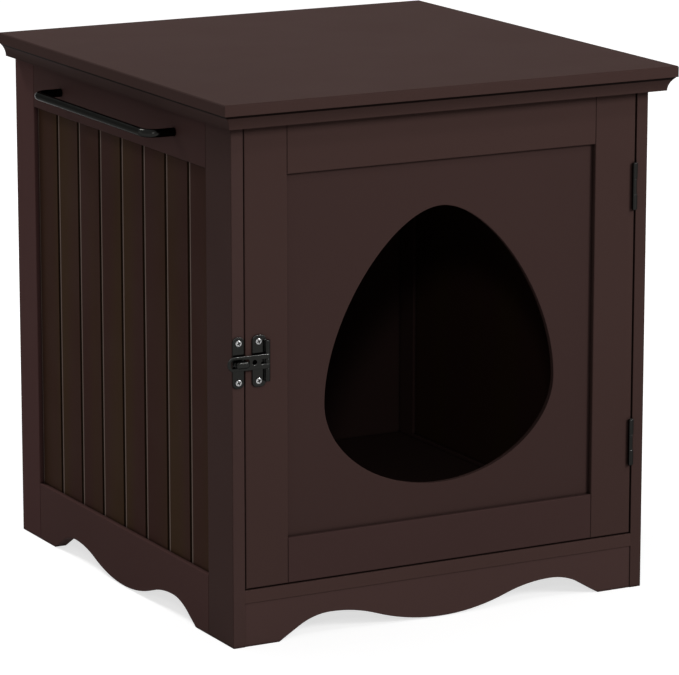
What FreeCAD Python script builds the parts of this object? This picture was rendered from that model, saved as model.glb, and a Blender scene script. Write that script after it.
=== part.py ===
"""Cat litter box cabinet, in millimetres, +Z up.

A free-standing wooden cabinet: a moulded top on two framed and beaded sides,
an inset framed door with an egg-shaped doorway, a turn-knob hasp on the left,
two butt hinges on the right and a round towel bar on the left side.

The pieces are drawn about the middle of the body, with the front facing -Y,
and are then moved so that the origin is the middle of the whole object's box,
on the floor.
"""

import FreeCAD, Part
import math
import os

V = FreeCAD.Vector

# --- whole body -------------------------------------------------------------
BODY_WIDTH = 441.0            # across the outer faces of the side frames
BODY_DEPTH = 472.0            # front edges of the side frames to their rear edges
HEIGHT = 510.0                # floor to the top surface
EDGE_EASE = 0.6               # eased arris of the painted boards

# --- top board and the cove moulding under it ---------------------------------
TOP_THICKNESS = 10.5
TOP_SIDE_OVERHANG = 17.6
TOP_FRONT_OVERHANG = 24.4
TOP_EDGE_EASE = 1.0
MOULDING_HEIGHT = 13.4
MOULDING_SETBACK = 1.8        # the moulding's top stays back from the board's edge
COVE_RUN = 5.8                # how far the hollow carries the moulding outwards
COVE_FOOT = 1.4               # square edge under the hollow
COVE_FILLET = 0.8             # square edge over the hollow
COVE_SAG = 1.2                # depth of the hollow below its chord

# --- side frames ----------------------------------------------------------------
SIDE_THICKNESS = 12.2
FRONT_STILE_WIDTH = 50.5
REAR_STILE_WIDTH = 43.5
SIDE_TOP_RAIL = 59.0
SIDE_BOTTOM_RAIL = 58.0
SIDE_PANEL_RECESS = 4.5       # outer face of the frame to the beaded panel
SIDE_PANEL_THICKNESS = 4.5
SIDE_GROOVE_DEPTH = 6.0       # groove that holds the panel and the rails' tongues
SIDE_GROOVE_START = 26.0      # the groove stops this far above the floor
PANEL_EDGE_PLAY = 0.5         # room left at a panel's edge in the bottom of its groove
BEAD_COUNT = 7
BEAD_PITCH = 48.0
BEAD_WIDTH = 5.0
BEAD_DEPTH = 1.5

# --- floor, back and skirts --------------------------------------------------------
BOTTOM_THICKNESS = 13.0
SKIRT_HEIGHT = 41.0           # floor to the underside of the bottom board
SKIRT_THICKNESS = 12.0
SKIRT_SETBACK = 0.8
BACK_THICKNESS = 12.0
BACK_INSET = 3.0
STRETCHER_THICKNESS = 12.0
STRETCHER_HEIGHT = 40.0
CLEAT_SIZE = 15.0
CLEAT_END_GAP = 4.0
BLOCK_SIZE = 28.0             # legs of the three-cornered blocks behind the skirts

# --- scalloped lower edges ---------------------------------------------------------
SIDE_FOOT = 77.0              # body corner to the end of the flat foot
SIDE_CREST = 126.7            # body corner to the top of the arch
SIDE_CREST_HEIGHT = 20.0
FRONT_FOOT = 47.9
FRONT_CREST = 101.5
FRONT_CREST_HEIGHT = 21.6
MIDDLE_CLEARANCE = 1.0        # the middle point of a scallop stays off the floor
RISE_ANGLE = 31.0             # degrees; slope of the straight that leaves the foot
CREST_SHARE = 0.41            # share of the long slope's run that is arched like the crest

# --- door ---------------------------------------------------------------------------
DOOR_THICKNESS = 15.0
DOOR_LATCH_GAP = 1.2
DOOR_HINGE_GAP = 1.9
DOOR_BOTTOM_GAP = 1.5
DOOR_TOP_GAP = 1.6
DOOR_STILE_WIDTH = 43.5
DOOR_TOP_RAIL = 46.5
DOOR_BOTTOM_RAIL = 43.0
DOOR_PANEL_RECESS = 5.0
DOOR_PANEL_THICKNESS = 5.0
DOOR_GROOVE_DEPTH = 8.0
DOOR_STOP_GAP = 0.5           # door's rear face to the stretcher behind it

# --- egg-shaped doorway ------------------------------------------------------------
DOORWAY_WIDTH = 245.6
DOORWAY_HEIGHT = 264.0
DOORWAY_SILL = 130.0          # floor to the lowest point of the doorway
DOORWAY_BULGE = 89.0          # lowest point to the widest place
EGG_TOP_HANDLE = 51.3
EGG_SHOULDER_HANDLE = 79.0
EGG_HIP_HANDLE = 46.0
EGG_BASE_HANDLE = 67.7

# --- butt hinges ---------------------------------------------------------------------
HINGE_LENGTH = 45.0
HINGE_SPACING = 249.0         # middle of one hinge to the middle of the other
HINGE_LEAF_THICKNESS = 0.8
HINGE_LEAF_WIDTH = 12.0
HINGE_BARREL_RADIUS = 2.1
HINGE_PIN_RADIUS = 1.0
HINGE_PIN_PLAY = 0.05
HINGE_BARREL_STANDOFF = 0.3   # barrel to the front face of the cabinet
HINGE_AXIS_INSET = 1.3        # door's edge to the barrel's axis, over the door
HINGE_KNUCKLES = 3
KNUCKLE_GAP = 0.2
HINGE_SCREW_SPACING = 26.0
HINGE_SCREW_LENGTH = 9.0
HINGE_SCREW_HEAD = 4.6
HINGE_SCREW_SHANK = 2.4

# --- turn-knob hasp -----------------------------------------------------------------
HASP_HEIGHT = 269.0           # floor to the middle of the hasp
PLATE_THICKNESS = 1.2
PLATE_CORNER = 4.5
KEEPER_WIDTH = 11.2
KEEPER_LENGTH = 47.4
LEAF_WIDTH = 13.5
LEAF_LENGTH = 47.8
LEAF_INSET = 7.1              # door's edge to the hasp leaf
STRAP_WIDTH = 13.5
STRAP_SLOT_PLAY = 2.6         # room in the slot beyond each end of the knob's wing
STRAP_SLOT_WIDTH = 7.4
STRAP_END_WALL = 3.6
STRAP_WINDOW_REACH = 7.5      # barrel's axis to the window's far end
STRAP_WINDOW_WIDTH = 4.6      # the leaf's middle knuckle stands in the window
STRAP_HOLE_RADIUS = 2.4
STRAP_HOLE_OFFSET = 14.5      # knob's axis to the round hole
HASP_BARREL_RADIUS = 2.6
HASP_BARREL_STANDOFF = 0.3
HASP_BARREL_LENGTH = 38.0
HASP_PIN_RADIUS = 1.0
HASP_PIN_PLAY = 0.05
HASP_SCREW_SPACING = 36.6
HASP_SCREW_HEAD = 6.4
HASP_SCREW_DOME = 1.3         # height of the head
HASP_SCREW_FLAT = 3.6         # width of the head's top
HASP_SCREW_SHANK = 2.8
HASP_SCREW_LENGTH = 12.0
KNOB_DOOR_GAP = 0.75          # end of the wing to the door's edge
KNOB_WING_WIDTH = 6.2
KNOB_WING_HEIGHT = 6.0
KNOB_NECK_RADIUS = 2.2
KNOB_SHAFT_RADIUS = 1.7
KNOB_SHAFT_PLAY = 0.06
KNOB_RIVET_RADIUS = 2.8
KNOB_RIVET_THICKNESS = 1.0
KNOB_STRAP_GAP = 0.4          # strap's outer face to the underside of the wing
KNOB_EDGE_EASE = 0.8

# --- towel bar ------------------------------------------------------------------------
BAR_RADIUS = 4.0
BAR_STANDOFF = 27.5           # side face to the rod's centreline
BAR_SPAN = 249.5              # between the two ends' centrelines
BAR_BEND = 12.0
BAR_DROP = 35.5               # underside of the top to the rod's centreline
BAR_SCREW_SHANK = 2.0         # radius
BAR_SCREW_HEAD = 3.6          # radius
BAR_SCREW_HEAD_HEIGHT = 2.4
BAR_SCREW_BITE = 10.0         # length of the screw inside the rod

# --- dowels and wood screws ----------------------------------------------------------
FASTENER_SIDES = 8            # screws, dowels and pins have this many flat sides
DOWEL_RADIUS = 3.0
DOWEL_IN_SIDE = 8.0
DOWEL_IN_BOARD = 14.0
BACK_DOWEL_MARGIN = 70.0      # back board's ends to its outer dowels
CLEAT_SCREW_SHANK = 3.0
CLEAT_SCREW_HEAD = 6.6
CLEAT_SCREW_BITE = 7.0        # how far a cleat's screws enter the next board
CLEAT_SCREW_MARGIN = 60.0     # cleat's end to its first screw
CLEAT_SCREW_STEP = 22.0       # offset of the upright screws from the level ones

# --- places worked out from the sizes above -------------------------------------------
LEFT = -BODY_WIDTH / 2
RIGHT = BODY_WIDTH / 2
FRONT = -BODY_DEPTH / 2
REAR = BODY_DEPTH / 2
UNDER_TOP = HEIGHT - TOP_THICKNESS
INNER_LEFT = LEFT + SIDE_THICKNESS
INNER_RIGHT = RIGHT - SIDE_THICKNESS
FLOOR_TOP = SKIRT_HEIGHT + BOTTOM_THICKNESS
BACK_FACE = REAR - BACK_INSET - BACK_THICKNESS
MOULDING_BOTTOM = UNDER_TOP - MOULDING_HEIGHT
STILE_BACK = FRONT + FRONT_STILE_WIDTH
STILE_FRONT = REAR - REAR_STILE_WIDTH
SIDE_MIDDLE = (STILE_BACK + STILE_FRONT) / 2
DOOR_LEFT = INNER_LEFT + DOOR_LATCH_GAP
DOOR_RIGHT = INNER_RIGHT - DOOR_HINGE_GAP
DOOR_BACK = FRONT + DOOR_THICKNESS
DOOR_BOTTOM = FLOOR_TOP + DOOR_BOTTOM_GAP
DOOR_TOP = MOULDING_BOTTOM - DOOR_TOP_GAP
DOOR_MIDDLE = (DOOR_LEFT + DOOR_RIGHT) / 2
STRETCHER_FRONT = DOOR_BACK + DOOR_STOP_GAP
STRETCHER_BACK = STRETCHER_FRONT + STRETCHER_THICKNESS
HINGE_X = DOOR_RIGHT - HINGE_AXIS_INSET
HINGE_Y = FRONT - HINGE_BARREL_RADIUS - HINGE_BARREL_STANDOFF
HINGE_HEIGHTS = [(DOOR_BOTTOM + DOOR_TOP - HINGE_SPACING) / 2,
                 (DOOR_BOTTOM + DOOR_TOP + HINGE_SPACING) / 2]
KNOB_X = LEFT + SIDE_THICKNESS / 2
KNOB_WING_LENGTH = 2 * (DOOR_LEFT - KNOB_DOOR_GAP - KNOB_X)
STRAP_SLOT_LENGTH = KNOB_WING_LENGTH + 2 * STRAP_SLOT_PLAY
LEAF_LEFT = DOOR_LEFT + LEAF_INSET
LEAF_RIGHT = LEAF_LEFT + LEAF_WIDTH
HASP_X = LEAF_RIGHT + HASP_BARREL_RADIUS / 4
HASP_Y = FRONT - HASP_BARREL_RADIUS - HASP_BARREL_STANDOFF
STRAP_FACE = HASP_Y - HASP_BARREL_RADIUS
KNOB_WING_BACK = STRAP_FACE - KNOB_STRAP_GAP
KNOB_WING_FRONT = KNOB_WING_BACK - KNOB_WING_HEIGHT
BAR_FRONT_Y = SIDE_MIDDLE - BAR_SPAN / 2
BAR_REAR_Y = SIDE_MIDDLE + BAR_SPAN / 2
BAR_REACH = BAR_STANDOFF + BAR_RADIUS
BAR_HEIGHT = UNDER_TOP - BAR_DROP

# the middle of the whole object's box, on the floor, becomes the origin
ORIGIN_SHIFT = V((BAR_REACH - TOP_SIDE_OVERHANG) / 2, TOP_FRONT_OVERHANG / 2, 0)


# --- small helpers -----------------------------------------------------------------
def block(x0, x1, y0, y1, z0, z1):
    return Part.makeBox(x1 - x0, y1 - y0, z1 - z0, V(x0, y0, z0))


def ease(shape, size, chosen):
    """Chamfer the edges whose middle point the function chosen accepts."""
    edges = []
    for edge in shape.Edges:
        middle = edge.valueAt((edge.FirstParameter + edge.LastParameter) / 2)
        if chosen(middle):
            edges.append(edge)
    return shape.makeChamfer(size, edges)


def on(value, place):
    return abs(value - place) < 1e-4


def prism(points, direction):
    """A straight prism over the closed polygon through the points."""
    return Part.Face(Part.makePolygon(points + points[:1])).extrude(direction)


def mirrored(shape):
    """The same piece on the other side of the cabinet."""
    return shape.mirror(V(0, 0, 0), V(1, 0, 0))


def cylinder(start, end, radius):
    axis = end - start
    return Part.makeCylinder(radius, axis.Length, start, axis)


def many_sided(start, end, radius, end_radius):
    """A straight or tapered pin with flat sides; its corners lie on the radii given."""
    axis = end - start
    axis.normalize()
    across = V(1, 0, 0) if abs(axis.x) < 0.5 else V(0, 1, 0)
    other = axis.cross(across)
    rings = []
    for centre, reach in ((start, radius), (end, end_radius)):
        points = []
        for index in range(FASTENER_SIDES):
            angle = 2 * math.pi * (index + 0.5) / FASTENER_SIDES
            points.append(centre + across * (reach * math.cos(angle)) + other * (reach * math.sin(angle)))
        rings.append(points)
    near, far = rings
    faces = [Part.Face(Part.makePolygon(points + points[:1])) for points in rings]
    for index in range(FASTENER_SIDES):
        after = (index + 1) % FASTENER_SIDES
        corners = [near[index], near[after], far[after], far[index], near[index]]
        faces.append(Part.Face(Part.makePolygon(corners)))
    return Part.makeSolid(Part.makeShell(faces))


def clear_of(radius, play):
    """Corner radius of a many-sided bore in which a pin of the radius can turn."""
    return (radius + play) / math.cos(math.pi / FASTENER_SIDES)


def flat_head_screw(face, direction, length, head, shank):
    """A countersunk screw whose head's face is centred on the point given."""
    neck = face + direction * ((head - shank) / 2)
    cone = many_sided(face, neck, head / 2, shank / 2)
    body = many_sided(neck, face + direction * length, shank / 2, shank / 2)
    return cone.fuse(body).removeSplitter()


def round_head_screw(seat, direction):
    """A round-headed screw with the underside of its head at the point given."""
    head = many_sided(seat, seat - direction * HASP_SCREW_DOME, HASP_SCREW_HEAD / 2, HASP_SCREW_FLAT / 2)
    tip = seat + direction * HASP_SCREW_LENGTH
    shank = many_sided(seat, tip, HASP_SCREW_SHANK / 2, HASP_SCREW_SHANK / 2)
    return head.fuse(shank).removeSplitter()


def curve(points):
    bezier = Part.BezierCurve()
    bezier.setPoles(points)
    return bezier.toShape()


def arc_between(start, end, radius, hollow, place):
    """An arc from start to end, both (along, up); it bulges up, or down if hollow."""
    chord = math.hypot(end[0] - start[0], end[1] - start[1])
    sag = radius - math.sqrt(radius ** 2 - (chord / 2) ** 2)
    lift = -sag if hollow else sag
    middle = ((start[0] + end[0]) / 2 - (end[1] - start[1]) / chord * lift,
              (start[1] + end[1]) / 2 + (end[0] - start[0]) / chord * lift)
    return Part.Arc(place(*start), place(*middle), place(*end)).toShape()


# --- top board and mouldings -----------------------------------------------------------
def top_panel():
    board = block(LEFT - TOP_SIDE_OVERHANG, RIGHT + TOP_SIDE_OVERHANG,
                  FRONT - TOP_FRONT_OVERHANG, REAR, UNDER_TOP, HEIGHT)
    return ease(board, TOP_EDGE_EASE, lambda p: on(p.z, HEIGHT))


def cove_face(overhang, place):
    """The moulding's section; place turns (outwards, up) into a point in space."""
    top_run = overhang - MOULDING_SETBACK
    base_run = top_run - COVE_RUN
    low = (base_run, MOULDING_BOTTOM + COVE_FOOT)
    high = (top_run, UNDER_TOP - COVE_FILLET)
    chord = math.hypot(high[0] - low[0], high[1] - low[1])
    inwards = (-(high[1] - low[1]) / chord * COVE_SAG, (high[0] - low[0]) / chord * COVE_SAG)
    middle = ((low[0] + high[0]) / 2 + inwards[0], (low[1] + high[1]) / 2 + inwards[1])
    corners = [(top_run, UNDER_TOP), (0, UNDER_TOP), (0, MOULDING_BOTTOM), (base_run, MOULDING_BOTTOM), low]
    edges = [Part.makeLine(place(*a), place(*b)) for a, b in zip(corners, corners[1:])]
    edges.append(Part.Arc(place(*low), place(*middle), place(*high)).toShape())
    edges.append(Part.makeLine(place(*high), place(*corners[0])))
    return Part.Face(Part.Wire(edges))


def mitre_prism(towards_front):
    """The space on one side of the left mitre, over the mouldings' height."""
    step = TOP_FRONT_OVERHANG - TOP_SIDE_OVERHANG
    far = 2 * TOP_FRONT_OVERHANG
    corner = V(LEFT, FRONT - step, MOULDING_BOTTOM)
    tip = V(LEFT - far, FRONT - step - far, MOULDING_BOTTOM)
    if towards_front:
        points = [corner, tip, V(LEFT + far, tip.y, tip.z), V(LEFT + far, corner.y, corner.z)]
    else:
        points = [corner, tip, V(tip.x, FRONT + 1, tip.z), V(LEFT, FRONT + 1, tip.z)]
    return prism(points, V(0, 0, MOULDING_HEIGHT))


def front_moulding():
    start = LEFT - TOP_SIDE_OVERHANG
    face = cove_face(TOP_FRONT_OVERHANG, lambda run, z: V(start, FRONT - run, z))
    bar = face.extrude(V(BODY_WIDTH + 2 * TOP_SIDE_OVERHANG, 0, 0))
    end = mitre_prism(towards_front=False)
    return bar.cut(end).cut(mirrored(end))


def left_moulding():
    start = FRONT - TOP_FRONT_OVERHANG
    face = cove_face(TOP_SIDE_OVERHANG, lambda run, z: V(LEFT - run, start, z))
    bar = face.extrude(V(0, REAR - start, 0))
    return bar.cut(mitre_prism(towards_front=True))


# --- scalloped edge ---------------------------------------------------------------------
def scallop(foot, crest, crest_height, middle, place):
    """The space under one half of a scalloped edge: a short straight rises from the
    foot, an arc brings it level at the crest, and two arcs, which meet with one slope,
    fall to the middle. place turns (along, up) into a point."""
    angle = math.radians(RISE_ANGLE)
    straight = crest_height / math.tan(angle / 2) - (crest - foot)
    rise_radius = (crest - foot - straight * math.cos(angle)) / math.sin(angle)
    join = (foot + straight * math.cos(angle), straight * math.sin(angle))
    run = middle - crest
    drop = crest_height - MIDDLE_CLEARANCE
    radii = (run ** 2 + drop ** 2) / (2 * drop)
    turn = (crest + CREST_SHARE * run, crest_height - CREST_SHARE * drop)
    top = (crest, crest_height)
    end = (middle, MIDDLE_CLEARANCE)
    floor = -1.0
    edges = [Part.makeLine(place(foot, 0), place(*join)),
             arc_between(join, top, rise_radius, False, place),
             arc_between(top, turn, CREST_SHARE * radii, False, place),
             arc_between(turn, end, (1 - CREST_SHARE) * radii, True, place),
             Part.makeLine(place(*end), place(middle, floor)),
             Part.makeLine(place(middle, floor), place(foot, floor)),
             Part.makeLine(place(foot, floor), place(foot, 0))]
    return Part.Face(Part.Wire(edges))


def side_scallops():
    """Cutter for the left bottom rail: two arches that meet in the middle."""
    middle = BODY_DEPTH / 2
    depth = V(SIDE_THICKNESS + 2, 0, 0)
    front_half = scallop(SIDE_FOOT, SIDE_CREST, SIDE_CREST_HEIGHT, middle,
                         lambda along, z: V(LEFT - 1, FRONT + along, z)).extrude(depth)
    rear_half = scallop(SIDE_FOOT, SIDE_CREST, SIDE_CREST_HEIGHT, middle,
                        lambda along, z: V(LEFT - 1, REAR - along, z)).extrude(depth)
    return front_half.fuse(rear_half)


def skirt_scallops(y0):
    """Cutter for a front or rear skirt whose nearer face is at y0."""
    left_half = scallop(FRONT_FOOT, FRONT_CREST, FRONT_CREST_HEIGHT, BODY_WIDTH / 2,
                        lambda along, z: V(LEFT + along, y0 - 1, z))
    left_half = left_half.extrude(V(0, SKIRT_THICKNESS + 2, 0))
    return left_half.fuse(mirrored(left_half))


# --- side frames (drawn on the left) ----------------------------------------------------
def side_groove(y0, y1, z0, z1):
    x0 = LEFT + SIDE_PANEL_RECESS
    return block(x0, x0 + SIDE_PANEL_THICKNESS, y0, y1, z0, z1)


def side_stile(y0, y1, groove_y0, groove_y1):
    board = block(LEFT, INNER_LEFT, y0, y1, 0, UNDER_TOP)
    board = ease(board, EDGE_EASE, lambda p: on(p.x, LEFT) and not on(p.z, UNDER_TOP))
    return board.cut(side_groove(groove_y0, groove_y1, SIDE_GROOVE_START, UNDER_TOP))


def front_stile():
    return side_stile(FRONT, STILE_BACK, STILE_BACK - SIDE_GROOVE_DEPTH, STILE_BACK)


def rear_stile():
    return side_stile(STILE_FRONT, REAR, STILE_FRONT, STILE_FRONT + SIDE_GROOVE_DEPTH)


def side_rail(z0, z1, tongue_z0, groove_z0, groove_z1):
    """A rail between the stiles, with a tongue in the groove of each."""
    board = block(LEFT, INNER_LEFT, STILE_BACK, STILE_FRONT, z0, z1)
    board = ease(board, EDGE_EASE, lambda p: on(p.x, LEFT) and not on(p.z, UNDER_TOP))
    reach = SIDE_GROOVE_DEPTH - PANEL_EDGE_PLAY
    tongues = side_groove(STILE_BACK - reach, STILE_FRONT + reach, tongue_z0, z1)
    groove = side_groove(STILE_BACK - reach, STILE_FRONT + reach, groove_z0, groove_z1)
    return board.fuse(tongues).cut(groove).removeSplitter()


def side_top_rail():
    low = UNDER_TOP - SIDE_TOP_RAIL
    return side_rail(low, UNDER_TOP, low, low, low + SIDE_GROOVE_DEPTH)


def side_bottom_rail():
    rail = side_rail(0, SIDE_BOTTOM_RAIL, SIDE_GROOVE_START,
                     SIDE_BOTTOM_RAIL - SIDE_GROOVE_DEPTH, SIDE_BOTTOM_RAIL)
    return rail.cut(side_scallops())


def side_panel():
    """The beaded panel: one sheet with upright V grooves in its outer face."""
    reach = SIDE_GROOVE_DEPTH - PANEL_EDGE_PLAY
    z0 = SIDE_BOTTOM_RAIL - reach
    z1 = UNDER_TOP - SIDE_TOP_RAIL + reach
    x0 = LEFT + SIDE_PANEL_RECESS
    sheet = block(x0, x0 + SIDE_PANEL_THICKNESS, STILE_BACK - reach, STILE_FRONT + reach, z0, z1)
    for index in range(BEAD_COUNT):
        y = SIDE_MIDDLE + (index - (BEAD_COUNT - 1) / 2) * BEAD_PITCH
        points = [V(x0, y - BEAD_WIDTH / 2, z0), V(x0 + BEAD_DEPTH, y, z0), V(x0, y + BEAD_WIDTH / 2, z0)]
        sheet = sheet.cut(prism(points, V(0, 0, z1 - z0)))
    return sheet


# --- floor, back, skirts and inner pieces -----------------------------------------------
def bottom_panel():
    board = block(INNER_LEFT, INNER_RIGHT, FRONT, REAR - BACK_INSET, SKIRT_HEIGHT, FLOOR_TOP)
    return ease(board, EDGE_EASE, lambda p: on(p.y, FRONT) and on(p.x, 0))


def back_panel():
    return block(INNER_LEFT, INNER_RIGHT, BACK_FACE, REAR - BACK_INSET, FLOOR_TOP, UNDER_TOP)


def skirt(y0):
    board = block(INNER_LEFT, INNER_RIGHT, y0, y0 + SKIRT_THICKNESS, 0, SKIRT_HEIGHT)
    return board.cut(skirt_scallops(y0))


def front_stretcher():
    return block(INNER_LEFT, INNER_RIGHT, STRETCHER_FRONT, STRETCHER_BACK,
                 UNDER_TOP - STRETCHER_HEIGHT, UNDER_TOP)


def top_cleat():
    return block(INNER_LEFT, INNER_LEFT + CLEAT_SIZE, STRETCHER_BACK + CLEAT_END_GAP,
                 BACK_FACE - CLEAT_END_GAP, UNDER_TOP - CLEAT_SIZE, UNDER_TOP)


def bottom_cleat():
    y0 = FRONT + SKIRT_SETBACK + SKIRT_THICKNESS + BLOCK_SIZE + CLEAT_END_GAP
    y1 = REAR - BACK_INSET - SKIRT_THICKNESS - BLOCK_SIZE - CLEAT_END_GAP
    return block(INNER_LEFT, INNER_LEFT + CLEAT_SIZE, y0, y1, SKIRT_HEIGHT - CLEAT_SIZE, SKIRT_HEIGHT)


def corner_block(y0, towards):
    """A three-cornered block in the left corner behind a skirt."""
    points = [V(INNER_LEFT, y0, 0),
              V(INNER_LEFT + BLOCK_SIZE, y0, 0),
              V(INNER_LEFT, y0 + towards * BLOCK_SIZE, 0)]
    return prism(points, V(0, 0, SKIRT_HEIGHT))


def corner_blocks():
    front = corner_block(FRONT + SKIRT_SETBACK + SKIRT_THICKNESS, 1)
    rear = corner_block(REAR - BACK_INSET - SKIRT_THICKNESS, -1)
    return [front, mirrored(front), rear, mirrored(rear)]


def side_dowels():
    """Dowels on the left that pin the stretcher, skirts and back to the side frame."""
    stretcher_y = (STRETCHER_FRONT + STRETCHER_BACK) / 2
    skirt_z = SKIRT_HEIGHT / 2
    places = [(stretcher_y, UNDER_TOP - STRETCHER_HEIGHT / 2),
              (FRONT + SKIRT_SETBACK + SKIRT_THICKNESS / 2, skirt_z),
              (REAR - BACK_INSET - SKIRT_THICKNESS / 2, skirt_z)]
    back_y = BACK_FACE + BACK_THICKNESS / 2
    for z in (FLOOR_TOP + BACK_DOWEL_MARGIN, UNDER_TOP - BACK_DOWEL_MARGIN):
        places.append((back_y, z))
    dowels = []
    for y, z in places:
        dowels.append(many_sided(V(INNER_LEFT - DOWEL_IN_SIDE, y, z), V(INNER_LEFT + DOWEL_IN_BOARD, y, z),
                                 DOWEL_RADIUS, DOWEL_RADIUS))
    return dowels


def cleat_screws():
    """Screws on the left: level ones into the side frame, upright ones into the boards."""
    screws = []
    for cleat in (top_cleat(), bottom_cleat()):
        box = cleat.BoundBox
        x_middle = (box.XMin + box.XMax) / 2
        z_middle = (box.ZMin + box.ZMax) / 2
        length = CLEAT_SIZE + CLEAT_SCREW_BITE
        for y, step in ((box.YMin + CLEAT_SCREW_MARGIN, CLEAT_SCREW_STEP),
                        (box.YMax - CLEAT_SCREW_MARGIN, -CLEAT_SCREW_STEP)):
            screws.append(flat_head_screw(V(box.XMax, y, z_middle), V(-1, 0, 0), length,
                                          CLEAT_SCREW_HEAD, CLEAT_SCREW_SHANK))
            screws.append(flat_head_screw(V(x_middle, y + step, box.ZMin), V(0, 0, 1), length,
                                          CLEAT_SCREW_HEAD, CLEAT_SCREW_SHANK))
    return screws


# --- towel bar ---------------------------------------------------------------------------
def towel_bar():
    far = LEFT - BAR_STANDOFF
    rod = cylinder(V(far, BAR_FRONT_Y + BAR_BEND, BAR_HEIGHT),
                   V(far, BAR_REAR_Y - BAR_BEND, BAR_HEIGHT), BAR_RADIUS)
    for y, inwards in ((BAR_FRONT_Y, 1), (BAR_REAR_Y, -1)):
        bend_start = V(far + BAR_BEND, y, BAR_HEIGHT)
        leg = cylinder(V(LEFT, y, BAR_HEIGHT), bend_start, BAR_RADIUS)
        section = Part.Face(Part.Wire([Part.makeCircle(BAR_RADIUS, bend_start, V(1, 0, 0))]))
        bend = section.revolve(bend_start + V(0, inwards * BAR_BEND, 0), V(0, 0, inwards), -90)
        rod = rod.fuse([leg, bend])
    return rod.removeSplitter()


def towel_bar_screws():
    screws = []
    for y in (BAR_FRONT_Y, BAR_REAR_Y):
        inner = V(INNER_LEFT, y, BAR_HEIGHT)
        shank = many_sided(inner, V(LEFT - BAR_SCREW_BITE, y, BAR_HEIGHT), BAR_SCREW_SHANK, BAR_SCREW_SHANK)
        head = many_sided(inner, inner + V(BAR_SCREW_HEAD_HEIGHT, 0, 0), BAR_SCREW_HEAD, BAR_SCREW_HEAD)
        screws.append(shank.fuse(head).removeSplitter())
    return screws


# --- door ---------------------------------------------------------------------------------
def door_groove(x0, x1, z0, z1):
    y0 = FRONT + DOOR_PANEL_RECESS
    return block(x0, x1, y0, y0 + DOOR_PANEL_THICKNESS, z0, z1)


def door_stile(x0, x1, groove_x0, groove_x1):
    board = block(x0, x1, FRONT, DOOR_BACK, DOOR_BOTTOM, DOOR_TOP)
    board = ease(board, EDGE_EASE, lambda p: on(p.y, FRONT))
    return board.cut(door_groove(groove_x0, groove_x1, DOOR_BOTTOM, DOOR_TOP))


def door_latch_stile():
    inner = DOOR_LEFT + DOOR_STILE_WIDTH
    return door_stile(DOOR_LEFT, inner, inner - DOOR_GROOVE_DEPTH, inner)


def door_hinge_stile():
    inner = DOOR_RIGHT - DOOR_STILE_WIDTH
    return door_stile(inner, DOOR_RIGHT, inner, inner + DOOR_GROOVE_DEPTH)


def door_rail(z0, z1, groove_z0, groove_z1):
    x0 = DOOR_LEFT + DOOR_STILE_WIDTH
    x1 = DOOR_RIGHT - DOOR_STILE_WIDTH
    board = block(x0, x1, FRONT, DOOR_BACK, z0, z1)
    board = ease(board, EDGE_EASE, lambda p: on(p.y, FRONT))
    reach = DOOR_GROOVE_DEPTH - PANEL_EDGE_PLAY
    tongues = door_groove(x0 - reach, x1 + reach, z0, z1)
    groove = door_groove(x0 - reach, x1 + reach, groove_z0, groove_z1)
    return board.fuse(tongues).cut(groove).removeSplitter()


def door_top_rail():
    low = DOOR_TOP - DOOR_TOP_RAIL
    return door_rail(low, DOOR_TOP, low, low + DOOR_GROOVE_DEPTH)


def door_bottom_rail():
    high = DOOR_BOTTOM + DOOR_BOTTOM_RAIL
    return door_rail(DOOR_BOTTOM, high, high - DOOR_GROOVE_DEPTH, high)


def egg_cutter():
    """The doorway's outline, right half and its mirror, through the panel."""
    y0 = FRONT
    top = DOORWAY_SILL + DOORWAY_HEIGHT
    wide = DOORWAY_SILL + DOORWAY_BULGE
    half = DOORWAY_WIDTH / 2

    def at(x, z, side):
        return V(DOOR_MIDDLE + side * x, y0, z)

    edges = []
    for side in (1, -1):
        edges.append(curve([at(0, top, side), at(EGG_TOP_HANDLE, top, side),
                            at(half, wide + EGG_SHOULDER_HANDLE, side), at(half, wide, side)]))
        edges.append(curve([at(half, wide, side), at(half, wide - EGG_HIP_HANDLE, side),
                            at(EGG_BASE_HANDLE, DOORWAY_SILL, side), at(0, DOORWAY_SILL, side)]))
    outline = Part.Wire(Part.__sortEdges__(edges))
    return Part.Face(outline).extrude(V(0, DOOR_THICKNESS, 0))


def door_panel():
    reach = DOOR_GROOVE_DEPTH - PANEL_EDGE_PLAY
    sheet = door_groove(DOOR_LEFT + DOOR_STILE_WIDTH - reach, DOOR_RIGHT - DOOR_STILE_WIDTH + reach,
                        DOOR_BOTTOM + DOOR_BOTTOM_RAIL - reach, DOOR_TOP - DOOR_TOP_RAIL + reach)
    return sheet.cut(egg_cutter())


# --- butt hinges ----------------------------------------------------------------------------
def hinge_leaf_faces(side):
    """The x of a leaf's seat and of its free face; side is +1 on the cabinet, -1 on the door."""
    seat = INNER_RIGHT if side > 0 else DOOR_RIGHT
    return seat, seat - side * HINGE_LEAF_THICKNESS


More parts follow.
